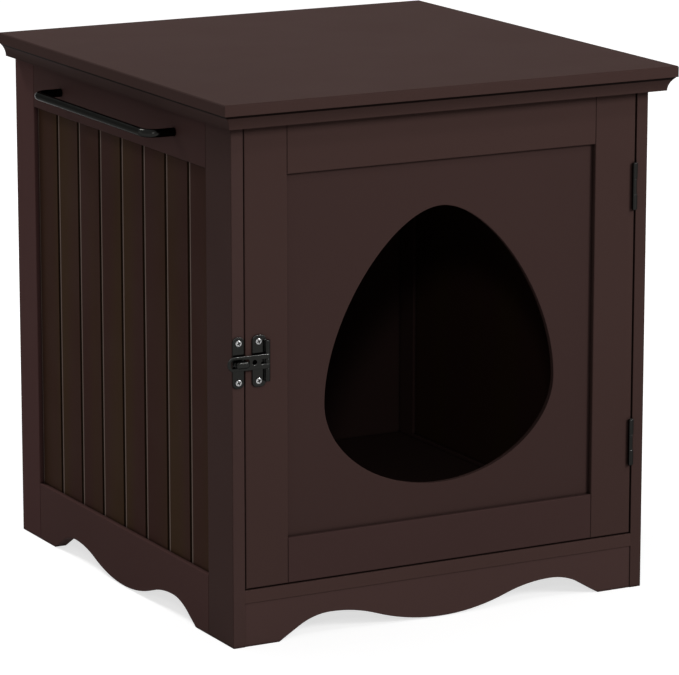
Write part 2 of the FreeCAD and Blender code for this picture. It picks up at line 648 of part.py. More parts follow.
def hinge_leaf(middle_z, side):
    """One leaf with its knuckles; each knuckle's root turns round the door's front corner."""
    z0 = middle_z - HINGE_LENGTH / 2
    pitch = HINGE_LENGTH / HINGE_KNUCKLES
    seat, free = hinge_leaf_faces(side)
    low_x = min(seat, free)
    high_x = max(seat, free)
    leaf = block(low_x, high_x, FRONT + HINGE_BARREL_STANDOFF / 2, FRONT + HINGE_LEAF_WIDTH,
                 z0, z0 + HINGE_LENGTH)
    first = 0 if side > 0 else 1
    for index in range(first, HINGE_KNUCKLES, 2):
        low = z0 + index * pitch + KNUCKLE_GAP / 2
        high = z0 + (index + 1) * pitch - KNUCKLE_GAP / 2
        knuckle = cylinder(V(HINGE_X, HINGE_Y, low), V(HINGE_X, HINGE_Y, high), HINGE_BARREL_RADIUS)
        arm = block(HINGE_X, high_x, HINGE_Y, HINGE_Y + HINGE_LEAF_THICKNESS, low, high)
        root = block(low_x, high_x, HINGE_Y, FRONT + HINGE_BARREL_STANDOFF, low, high)
        leaf = leaf.fuse([knuckle, arm, root])
    bore_radius = HINGE_PIN_RADIUS if side > 0 else clear_of(HINGE_PIN_RADIUS, HINGE_PIN_PLAY)
    bore = many_sided(V(HINGE_X, HINGE_Y, z0 - 1), V(HINGE_X, HINGE_Y, z0 + HINGE_LENGTH + 1),
                      bore_radius, bore_radius)
    leaf = leaf.cut(bore)
    for screw in hinge_screws(middle_z, side):
        leaf = leaf.cut(screw)
    return leaf.removeSplitter()


def hinge_pin(middle_z):
    half = HINGE_LENGTH / 2
    return many_sided(V(HINGE_X, HINGE_Y, middle_z - half), V(HINGE_X, HINGE_Y, middle_z + half),
                      HINGE_PIN_RADIUS, HINGE_PIN_RADIUS)


def hinge_screws(middle_z, side):
    x = hinge_leaf_faces(side)[1]
    y = FRONT + (HINGE_LEAF_WIDTH + HINGE_BARREL_STANDOFF) / 2
    screws = []
    for step in (-1, 1):
        z = middle_z + step * HINGE_SCREW_SPACING / 2
        screws.append(flat_head_screw(V(x, y, z), V(side, 0, 0), HINGE_SCREW_LENGTH,
                                      HINGE_SCREW_HEAD, HINGE_SCREW_SHANK))
    return screws


# --- turn-knob hasp ---------------------------------------------------------------------------
def rounded_plate(x0, x1, z0, z1, y_back, thickness, corner):
    plate = block(x0, x1, y_back - thickness, y_back, z0, z1)
    edges = []
    for edge in plate.Edges:
        middle = edge.valueAt((edge.FirstParameter + edge.LastParameter) / 2)
        if on(middle.y, y_back - thickness / 2):
            edges.append(edge)
    return plate.makeFillet(corner, edges)


def plate_screws(x):
    screws = []
    for step in (-1, 1):
        z = HASP_HEIGHT + step * HASP_SCREW_SPACING / 2
        screws.append(round_head_screw(V(x, FRONT - PLATE_THICKNESS, z), V(0, 1, 0)))
    return screws


def keeper_plate():
    plate = rounded_plate(KNOB_X - KEEPER_WIDTH / 2, KNOB_X + KEEPER_WIDTH / 2,
                          HASP_HEIGHT - KEEPER_LENGTH / 2, HASP_HEIGHT + KEEPER_LENGTH / 2,
                          FRONT, PLATE_THICKNESS, PLATE_CORNER)
    bore = cylinder(V(KNOB_X, FRONT - PLATE_THICKNESS - 1, HASP_HEIGHT), V(KNOB_X, FRONT + 1, HASP_HEIGHT),
                    KNOB_SHAFT_RADIUS + KNOB_SHAFT_PLAY)
    plate = plate.cut(bore)
    for screw in plate_screws(KNOB_X):
        plate = plate.cut(screw)
    return plate


def rivet_recess():
    """Room in the post behind the keeper plate for the knob's riveted end."""
    depth = KNOB_RIVET_THICKNESS + 2 * KNOB_SHAFT_PLAY + KNOB_STRAP_GAP
    radius = clear_of(KNOB_RIVET_RADIUS, KNOB_STRAP_GAP)
    return many_sided(V(KNOB_X, FRONT - 1, HASP_HEIGHT), V(KNOB_X, FRONT + depth, HASP_HEIGHT),
                      radius, radius)


def leaf_screw_x():
    return (LEAF_LEFT + LEAF_RIGHT - HASP_BARREL_RADIUS / 2) / 2


def hasp_ring(z0, z1):
    return cylinder(V(HASP_X, HASP_Y, z0), V(HASP_X, HASP_Y, z1), HASP_BARREL_RADIUS)


def hasp_bore(radius):
    reach = HASP_BARREL_LENGTH
    return many_sided(V(HASP_X, HASP_Y, HASP_HEIGHT - reach), V(HASP_X, HASP_Y, HASP_HEIGHT + reach),
                      radius, radius)


def hasp_leaf():
    """The door's half of the hasp: a plate with knuckles above, below and inside the strap."""
    z0 = HASP_HEIGHT - LEAF_LENGTH / 2
    z1 = HASP_HEIGHT + LEAF_LENGTH / 2
    leaf = rounded_plate(LEAF_LEFT, LEAF_RIGHT, z0, z1, FRONT, PLATE_THICKNESS, PLATE_CORNER)
    strap_half = STRAP_WIDTH / 2
    for side in (-1, 1):
        near = HASP_HEIGHT + side * (strap_half + KNUCKLE_GAP)
        far = HASP_HEIGHT + side * HASP_BARREL_LENGTH / 2
        low = min(near, far)
        high = max(near, far)
        root = block(HASP_X - HASP_BARREL_RADIUS, HASP_X, FRONT - PLATE_THICKNESS, FRONT, low, high)
        leaf = leaf.fuse([hasp_ring(low, high), root])
    room = HASP_BARREL_RADIUS + HASP_BARREL_STANDOFF
    notch = block(HASP_X - room, HASP_X + room, FRONT - 2 * room, FRONT + 1,
                  HASP_HEIGHT - strap_half - KNUCKLE_GAP, HASP_HEIGHT + strap_half + KNUCKLE_GAP)
    leaf = leaf.cut(notch)
    middle = STRAP_WINDOW_WIDTH / 2 - KNUCKLE_GAP
    root = block(LEAF_RIGHT - HASP_BARREL_RADIUS, HASP_X, HASP_Y, FRONT,
                 HASP_HEIGHT - middle, HASP_HEIGHT + middle)
    leaf = leaf.fuse([hasp_ring(HASP_HEIGHT - middle, HASP_HEIGHT + middle), root])
    leaf = leaf.cut(hasp_bore(HASP_PIN_RADIUS))
    for screw in plate_screws(leaf_screw_x()):
        leaf = leaf.cut(screw)
    return leaf.removeSplitter()


def hasp_pin():
    half = HASP_BARREL_LENGTH / 2
    return many_sided(V(HASP_X, HASP_Y, HASP_HEIGHT - half), V(HASP_X, HASP_Y, HASP_HEIGHT + half),
                      HASP_PIN_RADIUS, HASP_PIN_RADIUS)


def hasp_strap():
    """The strap: a knuckle on the pin and a flat bar with the knob's slot in it."""
    z0 = HASP_HEIGHT - STRAP_WIDTH / 2
    z1 = HASP_HEIGHT + STRAP_WIDTH / 2
    end = KNOB_X - STRAP_SLOT_LENGTH / 2 - STRAP_END_WALL
    y0 = STRAP_FACE
    y1 = STRAP_FACE + PLATE_THICKNESS
    bar = block(end, HASP_X, y0, y1, z0, z1)
    ends = []
    for edge in bar.Edges:
        middle = edge.valueAt((edge.FirstParameter + edge.LastParameter) / 2)
        if on(middle.x, end) and on(middle.y, (y0 + y1) / 2):
            ends.append(edge)
    bar = bar.makeFillet(STRAP_WIDTH / 2 * 0.98, ends)
    strap = bar.fuse(hasp_ring(z0, z1)).cut(hasp_bore(clear_of(HASP_PIN_RADIUS, HASP_PIN_PLAY)))
    slot = rounded_plate(KNOB_X - STRAP_SLOT_LENGTH / 2, KNOB_X + STRAP_SLOT_LENGTH / 2,
                         HASP_HEIGHT - STRAP_SLOT_WIDTH / 2, HASP_HEIGHT + STRAP_SLOT_WIDTH / 2,
                         y1 + 1, PLATE_THICKNESS + 2, STRAP_SLOT_WIDTH / 4)
    window = block(HASP_X - STRAP_WINDOW_REACH, HASP_X + STRAP_WINDOW_REACH, y0 - 1, FRONT,
                   HASP_HEIGHT - STRAP_WINDOW_WIDTH / 2, HASP_HEIGHT + STRAP_WINDOW_WIDTH / 2)
    hole_x = KNOB_X + STRAP_HOLE_OFFSET
    hole = cylinder(V(hole_x, y0 - 1, HASP_HEIGHT), V(hole_x, y1 + 1, HASP_HEIGHT), STRAP_HOLE_RADIUS)
    return strap.cut(slot).cut(window).cut(hole).removeSplitter()


def turn_knob():
    """The knob in line with the strap's slot: wing, neck, shaft and riveted end."""
    half = KNOB_WING_LENGTH / 2
    wing = rounded_plate(KNOB_X - half, KNOB_X + half,
                         HASP_HEIGHT - KNOB_WING_WIDTH / 2, HASP_HEIGHT + KNOB_WING_WIDTH / 2,
                         KNOB_WING_BACK, KNOB_WING_HEIGHT, KNOB_WING_WIDTH / 2 * 0.96)
    rim = []
    for edge in wing.Edges:
        middle = edge.valueAt((edge.FirstParameter + edge.LastParameter) / 2)
        if on(middle.y, KNOB_WING_FRONT):
            rim.append(edge)
    wing = wing.makeChamfer(KNOB_EDGE_EASE, rim)
    neck_start = FRONT - PLATE_THICKNESS - KNOB_SHAFT_PLAY

    def axis_point(y):
        return V(KNOB_X, y, HASP_HEIGHT)

    neck = cylinder(axis_point(neck_start), axis_point(KNOB_WING_BACK), KNOB_NECK_RADIUS)
    rivet_front = FRONT + KNOB_SHAFT_PLAY
    shaft = cylinder(axis_point(rivet_front), axis_point(neck_start), KNOB_SHAFT_RADIUS)
    rivet = many_sided(axis_point(rivet_front), axis_point(rivet_front + KNOB_RIVET_THICKNESS),
                       KNOB_RIVET_RADIUS, KNOB_RIVET_RADIUS)
    return wing.fuse([neck, shaft, rivet]).removeSplitter()


# --- the whole cabinet ----------------------------------------------------------------------
def bored(shape, cutters):
    """The piece with a seat for each fastener that reaches it."""
    for cutter in cutters:
        if shape.BoundBox.intersect(cutter.BoundBox):
            shape = shape.cut(cutter)
    return shape


def build():
    left_dowels = side_dowels()
    right_dowels = [mirrored(dowel) for dowel in left_dowels]
    left_cleat_screws = cleat_screws()
    right_cleat_screws = [mirrored(screw) for screw in left_cleat_screws]
    bar_screws = towel_bar_screws()
    keeper_screws = plate_screws(KNOB_X)
    leaf_screws = plate_screws(leaf_screw_x())
    cabinet_hinge_screws = []
    door_hinge_screws = []
    for z in HINGE_HEIGHTS:
        cabinet_hinge_screws += hinge_screws(z, 1)
        door_hinge_screws += hinge_screws(z, -1)

    left = left_dowels + left_cleat_screws + bar_screws + keeper_screws + [rivet_recess()]
    right = right_dowels + right_cleat_screws + cabinet_hinge_screws
    inside = left_dowels + right_dowels + left_cleat_screws + right_cleat_screws
    on_door = leaf_screws + door_hinge_screws

    nodes = {}
    nodes["top_panel"] = [bored(top_panel(), inside)]
    nodes["front_moulding"] = [front_moulding()]
    nodes["left_moulding"] = [left_moulding()]
    nodes["right_moulding"] = [mirrored(left_moulding())]
    side_pieces = {"front_stile": front_stile(), "rear_stile": rear_stile(), "top_rail": side_top_rail(),
                   "bottom_rail": side_bottom_rail(), "beaded_panel": side_panel()}
    for name, piece in side_pieces.items():
        nodes["left_" + name] = [bored(piece, left)]
        nodes["right_" + name] = [bored(mirrored(piece), right)]
    nodes["back_panel"] = [bored(back_panel(), inside)]
    nodes["bottom_panel"] = [bored(bottom_panel(), inside)]
    nodes["front_skirt"] = [bored(skirt(FRONT + SKIRT_SETBACK), inside)]
    nodes["rear_skirt"] = [bored(skirt(REAR - BACK_INSET - SKIRT_THICKNESS), inside)]
    nodes["front_stretcher"] = [bored(front_stretcher(), inside)]
    nodes["left_top_cleat"] = [bored(top_cleat(), left_cleat_screws)]
    nodes["right_top_cleat"] = [bored(mirrored(top_cleat()), right_cleat_screws)]
    nodes["left_bottom_cleat"] = [bored(bottom_cleat(), left_cleat_screws)]
    nodes["right_bottom_cleat"] = [bored(mirrored(bottom_cleat()), right_cleat_screws)]
    nodes["corner_blocks"] = [bored(piece, inside) for piece in corner_blocks()]
    nodes["wooden_dowels"] = left_dowels + right_dowels
    nodes["cleat_screws"] = left_cleat_screws + right_cleat_screws

    nodes["towel_bar"] = [bored(towel_bar(), bar_screws)]
    nodes["towel_bar_screws"] = bar_screws

    for name, z in zip(("lower", "upper"), HINGE_HEIGHTS):
        nodes[name + "_hinge_cabinet_leaf"] = [hinge_leaf(z, 1)]
        nodes[name + "_hinge_door_leaf"] = [hinge_leaf(z, -1)]
        nodes[name + "_hinge_pin"] = [hinge_pin(z)]
    nodes["hinge_cabinet_screws"] = cabinet_hinge_screws
    nodes["hinge_door_screws"] = door_hinge_screws

    nodes["door_latch_stile"] = [bored(door_latch_stile(), on_door)]
    nodes["door_hinge_stile"] = [bored(door_hinge_stile(), on_door)]
    nodes["door_top_rail"] = [door_top_rail()]
    nodes["door_bottom_rail"] = [door_bottom_rail()]
    nodes["door_panel"] = [door_panel()]

    nodes["keeper_plate"] = [keeper_plate()]
    nodes["keeper_screws"] = keeper_screws
    nodes["hasp_leaf"] = [hasp_leaf()]
    nodes["hasp_leaf_screws"] = leaf_screws
    nodes["hasp_pin"] = [hasp_pin()]
    nodes["hasp_strap"] = [hasp_strap()]
    nodes["turn_knob"] = [turn_knob()]
    return nodes


os.makedirs("parts", exist_ok=True)
for node_name, solids in build().items():
    shape = solids[0] if len(solids) == 1 else Part.makeCompound(solids)
    shape.translate(ORIGIN_SHIFT)
    shape.exportStep("parts/" + node_name + ".step")
    print(node_name, "solids", len(shape.Solids), "valid", shape.isValid(), "volume", round(shape.Volume, 1))
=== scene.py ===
"""Cat litter box cabinet: materials, small pieces, light and camera round the CAD frame.

Everything is in metres, in the frame of the CAD model: +Z up, the front facing -Y,
the origin on the floor under the middle of the whole object.
"""

import math

import bmesh
import bpy
from mathutils import Matrix, Vector


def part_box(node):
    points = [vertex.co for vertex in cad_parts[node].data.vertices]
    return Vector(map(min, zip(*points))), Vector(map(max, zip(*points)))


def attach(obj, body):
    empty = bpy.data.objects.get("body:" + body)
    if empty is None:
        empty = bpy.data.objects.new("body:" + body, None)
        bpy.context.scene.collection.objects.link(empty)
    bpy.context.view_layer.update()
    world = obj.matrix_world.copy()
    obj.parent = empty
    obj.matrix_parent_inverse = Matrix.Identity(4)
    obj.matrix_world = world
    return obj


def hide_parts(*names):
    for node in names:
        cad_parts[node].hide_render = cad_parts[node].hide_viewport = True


# --- camera, worked out from the photograph's edges -------------------------------------
CAMERA_PLACE = (-1.8540, -3.4744, 1.1170)
CAMERA_YAW = 28.31            # degrees from +Y towards +X
CAMERA_PITCH = 12.75          # degrees below level
CAMERA_LENS = 219.3           # mm on a sensor 36 mm wide
SENSOR_WIDTH = 36.0

# --- light and background ---------------------------------------------------------------
WORLD_LIGHT = 0.29
FLOOR_SIZE = 60.0
FLOOR_ALBEDO = 0.52
FLOOR_GLOW = 0.70             # added where camera and mirror rays see the floor near the object
FLOOR_GLOW_FAR = 0.84
GLOW_NEAR_REACH = 0.45        # distance from the object's middle where the glow starts to rise
GLOW_FAR_REACH = 2.2

# --- colours, linear --------------------------------------------------------------------
PAINT = (0.0465, 0.0262, 0.0232)
# the beaded boards' own tone, set darker than PAINT to their level under these lamps: partly painted
# shade
BEADED_TONE_AND_SHADE = (0.0385, 0.0205, 0.0108)
BEADED_RED = (0.0375, 0.0172, 0.0135)     # the reddish boards among them, also at that darker level
LIP_HIGHLIGHT = (0.1500, 0.1120, 0.0950)      # painted highlight on the front lip of each groove
PAINT_DEEP = 0.95             # darkest cloud in the paint, as a share of its colour
CORNER_SHADE_REACH = 0.0035          # width of the painted shade along joints and inside corners
# how dark that painted shade gets, as a share of the colour
CORNER_PAINTED_SHADE = 0.35
EDGE_HIGHLIGHT_SHARE = 1.25             # painted highlight on the arrises, as a share of its colour
BARE_WOOD = (0.46, 0.30, 0.16)
DARK_WOOD = (0.322, 0.186, 0.080)
BLACK_METAL = (0.0170, 0.0170, 0.0160)
PAINTED_METAL_GLINT = (0.2400, 0.2400, 0.2350)     # painted glints on the upper edges of the black metal
STEEL = (0.34, 0.34, 0.34)
# darkened steel for the cross recesses: painted shade
SHADED_RECESS_COLOUR = (0.030, 0.030, 0.030)

# --- the beaded panels' grooves, as in the CAD ------------------------------------------
BEAD_PITCH = 0.0480
BEAD_WIDTH = 0.0050
GROOVE_PAINTED_SHADE = 0.30           # painted shade inside the groove, as a share of its colour
LIP_WIDTH = 0.0018
GROOVE_REACH = 0.0022         # only this far in from the panel's outer face
QUIRK_SHADOW_HEIGHT = 0.0026         # height of the painted shadow line under the top board
# how dark that painted shadow is, as a share of the paint
QUIRK_PAINTED_SHADOW = 0.12
MOULDING_PAINTED_SHADE = 0.84         # the mouldings' paint darkened to their shaded level: painted shade

BEADS_BEFORE = 100            # keeps the count of beads above zero
GROOVE_SOFTNESS = 0.15        # soft share of a groove's half width
BOARD_BANDS = (0.0, 14.0, 0.6)            # noise stretched into one tone for each board

# --- finishes ---------------------------------------------------------------------------
BLACK = (0.0, 0.0, 0.0, 1.0)
PAINT_GLOSS = 0.009
BOARD_ROUGHNESS = (0.61, 0.64)
PANEL_ROUGHNESS = (0.58, 0.66)
CLOUD_SCALE = 3.0
CLOUD_DETAIL = 3.0
ROLLER_SCALE = 900.0
ROLLER_DEPTH = 0.00006
PEEL_DEPTH = 0.00004
BUMP_STRENGTH = 0.5
NEAR_SAMPLES = 4
BOARD_ARRIS = 0.0009          # radii that round the edges in the shading only
PANEL_ARRIS = 0.0006
METAL_ARRIS = 0.0009
SCREW_ARRIS = 0.0002
METAL_RIM = (0.47, 0.47, 0.47)            # the black metal's mirror at a low angle
GRAIN = (60.0, 4.0, 60.0)
GRAIN_DEPTH = 0.0001
WOOD_ROUGHNESS = 0.62

# --- hardware, as in the CAD ------------------------------------------------------------
HASP_SCREW_SPACING = 0.0366
HASP_SCREW_HEAD = 0.0064
HASP_SCREW_DOME = 0.0013
HASP_SCREW_SHANK = 0.0028
HASP_SCREW_LENGTH = 0.0120
HINGE_SCREW_SPACING = 0.0260
HINGE_SCREW_HEAD = 0.0046
HINGE_SCREW_SHANK = 0.0024
HINGE_SCREW_LENGTH = 0.0090
THREAD_PITCH = 0.0011
CROSS_REACH = 0.60            # arms of the cross recess, as a share of the head's radius
CROSS_WIDTH = 0.16            # half the arms' width, as a share of the head's radius
HEAD_SEGMENTS = 48
CROSS_TURN = 20               # degrees the cross is turned
SHARP_ANGLE = 32              # degrees; flatter edges are shaded smooth

# --- lamps: name, place, target, size and watts -----------------------------------------
LAMPS = (
    ("key", (1.9, -3.1, 1.8), (0, 0, 0.25), 1.0, 90),
    ("rear_left", (-0.9, 2.2, 2.7), (-0.1, 0, 0.3), 0.9, 69),
    ("left", (-1.6, 0.9, 0.7), (-0.2, 0.05, 0.3), 0.7, 1.0),
    ("overhead", (1.1, -1.35, 2.1), (-0.1, -0.25, 0.3), 0.25, 8),
    ("front_left", (-1.5, -2.9, 1.5), (-0.1, -0.1, 0.3), 0.25, 13),
)

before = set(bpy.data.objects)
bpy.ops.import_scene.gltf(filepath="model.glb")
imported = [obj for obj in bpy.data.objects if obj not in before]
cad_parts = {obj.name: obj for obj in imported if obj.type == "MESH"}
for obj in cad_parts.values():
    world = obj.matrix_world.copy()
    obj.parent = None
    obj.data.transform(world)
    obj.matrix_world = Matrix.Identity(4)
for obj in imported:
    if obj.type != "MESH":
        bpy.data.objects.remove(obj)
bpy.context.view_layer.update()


# --- node helpers -----------------------------------------------------------------------
class Nodes:
    """The node tree of a material or of the world, with short calls to add and join nodes."""

    def __init__(self, owner):
        self.owner = owner
        self.owner.use_nodes = True
        self.tree = self.owner.node_tree
        self.tree.nodes.clear()

    def add(self, kind, **settings):
        node = self.tree.nodes.new("ShaderNode" + kind)
        for key, value in settings.items():
            setattr(node, key, value)
        return node

    def link(self, source, target):
        self.tree.links.new(source, target)

    def set(self, socket, value):
        if hasattr(value, "is_output"):
            self.link(value, socket)
        else:
            socket.default_value = value

    def math(self, operation, first, second=0.0):
        node = self.add("Math", operation=operation)
        self.set(node.inputs[0], first)
        self.set(node.inputs[1], second)
        return node.outputs[0]

    def spread(self, value, low, high, out_low, out_high):
        """The value's range low to high turned smoothly into out_low to out_high."""
        node = self.add("MapRange", interpolation_type="SMOOTHSTEP")
        for socket, number in zip(node.inputs, (value, low, high, out_low, out_high)):
            self.set(socket, number)
        return node.outputs[0]

    def mix(self, factor, first, second):
        """The first colour where the factor is 0, the second where it is 1."""
        node = self.add("Mix", data_type="RGBA")
        sockets = [socket for socket in node.inputs if socket.enabled]
        self.set(sockets[0], factor)
        self.set(sockets[1], first)
        self.set(sockets[2], second)
        return [socket for socket in node.outputs if socket.enabled][0]

    def noise(self, vector, scale, detail):
        node = self.add("TexNoise")
        self.set(node.inputs["Vector"], vector)
        self.set(node.inputs["Scale"], scale)
        self.set(node.inputs["Detail"], detail)
        return node.outputs["Fac"]

    def place(self):
        """Each point's place in the CAD frame, as the objects sit at the origin."""
        return self.add("TexCoord").outputs["Object"]

    def stretched(self, scale):
        """Each point's place, stretched by a scale for each axis."""
        node = self.add("Mapping")
        node.inputs["Scale"].default_value = scale
        self.link(self.place(), node.inputs["Vector"])
        return node.outputs[0]

    def rounded(self, radius):
        """The surface's normal with every edge rounded over by the radius."""
        node = self.add("Bevel", samples=NEAR_SAMPLES)
        node.inputs["Radius"].default_value = radius
        return node.outputs["Normal"]

    def edge(self, rounded, low, high):
        """0 on open faces, 1 on the rounded edges."""
        dot = self.add("VectorMath", operation="DOT_PRODUCT")
        self.link(rounded, dot.inputs[0])
        self.link(self.add("NewGeometry").outputs["Normal"], dot.inputs[1])
        return self.spread(dot.outputs["Value"], low, high, 1.0, 0.0)

    def painted_corner_shade(self, colour):
        """The colour, darkened in joints and inside corners where they are occluded: painted shade."""
        near = self.add("AmbientOcclusion", samples=NEAR_SAMPLES, only_local=False)
        near.inputs["Distance"].default_value = CORNER_SHADE_REACH
        share = self.spread(near.outputs["AO"], 0.35, 0.95, CORNER_PAINTED_SHADE, 1.0)
        return self.mix(share, BLACK, colour)

    def bump(self, height, distance, normal=None):
        node = self.add("Bump")
        self.set(node.inputs["Height"], height)
        node.inputs["Distance"].default_value = distance
        node.inputs["Strength"].default_value = BUMP_STRENGTH
        if normal is not None:
            self.link(normal, node.inputs["Normal"])
        return node.outputs["Normal"]

    def surface(self, colour, roughness, normal=None, **fixed):
        """A Principled shader joined to the output; fixed values sit on its sockets."""
        shader = self.add("BsdfPrincipled")
        self.set(shader.inputs["Base Color"], colour)
        self.set(shader.inputs["Roughness"], roughness)
        if normal is not None:
            self.link(normal, shader.inputs["Normal"])
        for socket, value in fixed.items():
            shader.inputs[socket.replace("_", " ")].default_value = value
        return self.finish("OutputMaterial", shader)

    def finish(self, kind, shader):
        """The shader joined to an output node; gives back the material or world."""
        self.link(shader.outputs[0], self.add(kind).inputs["Surface"])
        return self.owner

    def cloud(self, place):
        """Soft clouds from 0 to 1."""
        return self.spread(self.noise(place, CLOUD_SCALE, CLOUD_DETAIL), 0.35, 0.65, 0.0, 1.0)

    def paint(self, place, colour, roughness, normal):
        """A dull paint surface with the texture of a roller."""
        rough = self.spread(self.noise(place, 14.0, 4.0), 0.3, 0.7, *roughness)
        rolled = self.bump(self.noise(place, ROLLER_SCALE, 2.0), ROLLER_DEPTH, normal)
        return self.surface(colour, rough, rolled, Specular_IOR_Level=PAINT_GLOSS)

    def split(self, vector):
        """The vector's three parts."""
        node = self.add("SeparateXYZ")
        self.link(vector, node.inputs[0])
        return node.outputs


def new_nodes(name):
    return Nodes(bpy.data.materials.new(name))


def rgba(colour, share=1.0):
    """The colour times the share, with full cover."""
    return (colour[0] * share, colour[1] * share, colour[2] * share, 1.0)


# --- materials --------------------------------------------------------------------------
def paint_material(name, tint=(1.0, 1.0, 1.0)):
    """Dull satin paint: roller texture, soft clouds, a painted highlight on the arrises and painted
    shade in joints and inside corners.
    """
    nodes = new_nodes(name)
    place = nodes.place()
    cloud = nodes.cloud(place)
    paint = [level * share for level, share in zip(PAINT, tint)]
    flat = nodes.mix(cloud, rgba(paint), rgba(paint, PAINT_DEEP))
    rounded = nodes.rounded(BOARD_ARRIS)
    # the rounded edges take a lighter colour: painted highlight
    edge = nodes.edge(rounded, 0.80, 0.99)
    # darker in joints and inside corners: painted shade
    colour = nodes.painted_corner_shade(nodes.mix(edge, flat, rgba(paint, EDGE_HIGHLIGHT_SHARE)))
    return nodes.paint(place, colour, BOARD_ROUGHNESS, rounded)


def beaded_material(name, middle, face):
    """The paint of a beaded panel, with painted shade in its grooves and a painted highlight on their
    front lips.

    middle is the y of the panel's middle, face the x of its outer face."""
    nodes = new_nodes(name)
    place = nodes.place()
    cloud = nodes.cloud(place)
    across, along_y, _ = nodes.split(place)
    red = nodes.spread(nodes.noise(nodes.stretched(BOARD_BANDS), 1.0, 1.0), 0.40, 0.60, 0.0, 1.0)
    boards = nodes.mix(red, rgba(BEADED_TONE_AND_SHADE), rgba(BEADED_RED))
    flat = nodes.mix(nodes.math("MULTIPLY", cloud, 1.0 - PAINT_DEEP), boards, BLACK)
    depth = nodes.math("ABSOLUTE", nodes.math("SUBTRACT", across, face))
    outer = nodes.math("LESS_THAN", depth, GROOVE_REACH)
    beads = nodes.math("DIVIDE", nodes.math("SUBTRACT", along_y, middle), BEAD_PITCH)
    counted = nodes.math("ADD", beads, BEADS_BEFORE + 0.5)
    phase = nodes.math("SUBTRACT", nodes.math("FRACT", counted), 0.5)
    half = BEAD_WIDTH / 2 / BEAD_PITCH
    lip = half + LIP_WIDTH / BEAD_PITCH
    soft = half * GROOVE_SOFTNESS
    inside = nodes.spread(nodes.math("ABSOLUTE", phase), half - soft, half, 1.0, 0.0)
    # a lighter band on each groove's front lip: painted highlight
    lip_highlight = nodes.math("MULTIPLY", nodes.spread(phase, -lip - soft, -lip, 0.0, 1.0),
                        nodes.spread(phase, -half, -half + soft, 1.0, 0.0))
    colour = nodes.mix(nodes.math("MULTIPLY", lip_highlight, outer), flat, rgba(LIP_HIGHLIGHT))
    # inside each groove the colour is darkened: painted shade
    colour = nodes.mix(nodes.math("MULTIPLY", inside, outer), colour,
                       rgba(BEADED_TONE_AND_SHADE, GROOVE_PAINTED_SHADE))
    # painted shade in the panel's joints and inside corners
    colour = nodes.painted_corner_shade(colour)
    return nodes.paint(place, colour, PANEL_ROUGHNESS, nodes.rounded(PANEL_ARRIS))


def wood_material(name):
    """Planed softwood: long soft bands of grain with fine fibres."""
    nodes = new_nodes(name)
    fibres = nodes.stretched(GRAIN)
    bands = nodes.spread(nodes.noise(fibres, 1.0, 3.0), 0.35, 0.65, 0.0, 1.0)
    colour = nodes.mix(bands, rgba(BARE_WOOD), rgba(DARK_WOOD))
    normal = nodes.bump(nodes.noise(fibres, 8.0, 2.0), GRAIN_DEPTH)
    return nodes.surface(colour, WOOD_ROUGHNESS, normal)


def black_material(name):
    """Glossy black finish on steel: dark mirror, a little orange peel, painted glints on the upper
    edges.
    """
    nodes = new_nodes(name)
    peel = nodes.noise(nodes.place(), 420.0, 1.0)
    rounded = nodes.rounded(METAL_ARRIS)
    normal = nodes.bump(peel, PEEL_DEPTH, rounded)
    # upward-facing rounded edges take a bright colour: painted glints
    _, _, upward = nodes.split(rounded)
    upper = nodes.spread(upward, 0.25, 0.55, 0.0, 1.0)
    painted_glint = nodes.math("MULTIPLY", upper, nodes.edge(rounded, 0.72, 0.97))
    cloud = nodes.noise(nodes.place(), 60.0, 3.0)
    rough = nodes.spread(cloud, 0.3, 0.7, 0.13, 0.20)
    colour = nodes.mix(cloud, rgba(BLACK_METAL), rgba(BLACK_METAL, 0.8))
    colour = nodes.mix(painted_glint, colour, rgba(PAINTED_METAL_GLINT))
    return nodes.surface(colour, rough, normal, Metallic=1.0, Specular_Tint=rgba(METAL_RIM))


def steel_material(name, base, low, high):
    """Zinc-plated steel with slight clouding."""
    nodes = new_nodes(name)
    cloud = nodes.noise(nodes.place(), 300.0, 2.0)
    rough = nodes.spread(cloud, 0.3, 0.7, low, high)
    colour = nodes.mix(nodes.spread(cloud, 0.3, 0.7, 0.0, 1.0), rgba(base), rgba(base, 0.8))
    return nodes.surface(colour, rough, nodes.rounded(SCREW_ARRIS), Metallic=1.0)


def moulding_material(name, top):
    """Brown paint, darkened as painted shade, with a painted shadow line at the moulding's top, under
    the board.
    """
    nodes = new_nodes(name)
    place = nodes.place()
    cloud = nodes.noise(place, 7.0, 4.0)
    # the paint darkened as painted shade
    colour = nodes.mix(cloud, rgba(PAINT, MOULDING_PAINTED_SHADE), rgba(PAINT, MOULDING_PAINTED_SHADE * PAINT_DEEP))
    _, _, height = nodes.split(place)
    # a dark band at the top: painted shadow under the board
    line = nodes.math("GREATER_THAN", height, top - QUIRK_SHADOW_HEIGHT)
    colour = nodes.mix(line, colour, rgba(PAINT, QUIRK_PAINTED_SHADOW))
    rough = nodes.spread(cloud, 0.3, 0.7, *PANEL_ROUGHNESS)
    return nodes.surface(colour, rough, nodes.rounded(PANEL_ARRIS), Specular_IOR_Level=PAINT_GLOSS)


MATERIALS = {
    "brown_paint": paint_material("brown_paint"),
    "bare_wood": wood_material("bare_wood"),
    "black_metal": black_material("black_metal"),
    "bright_steel": steel_material("bright_steel", STEEL, 0.10, 0.20),
}
# the cross recesses' steel, darkened as painted shade
SHADED_RECESS_STEEL = steel_material("recess_shade_steel", SHADED_RECESS_COLOUR, 0.30, 0.40)

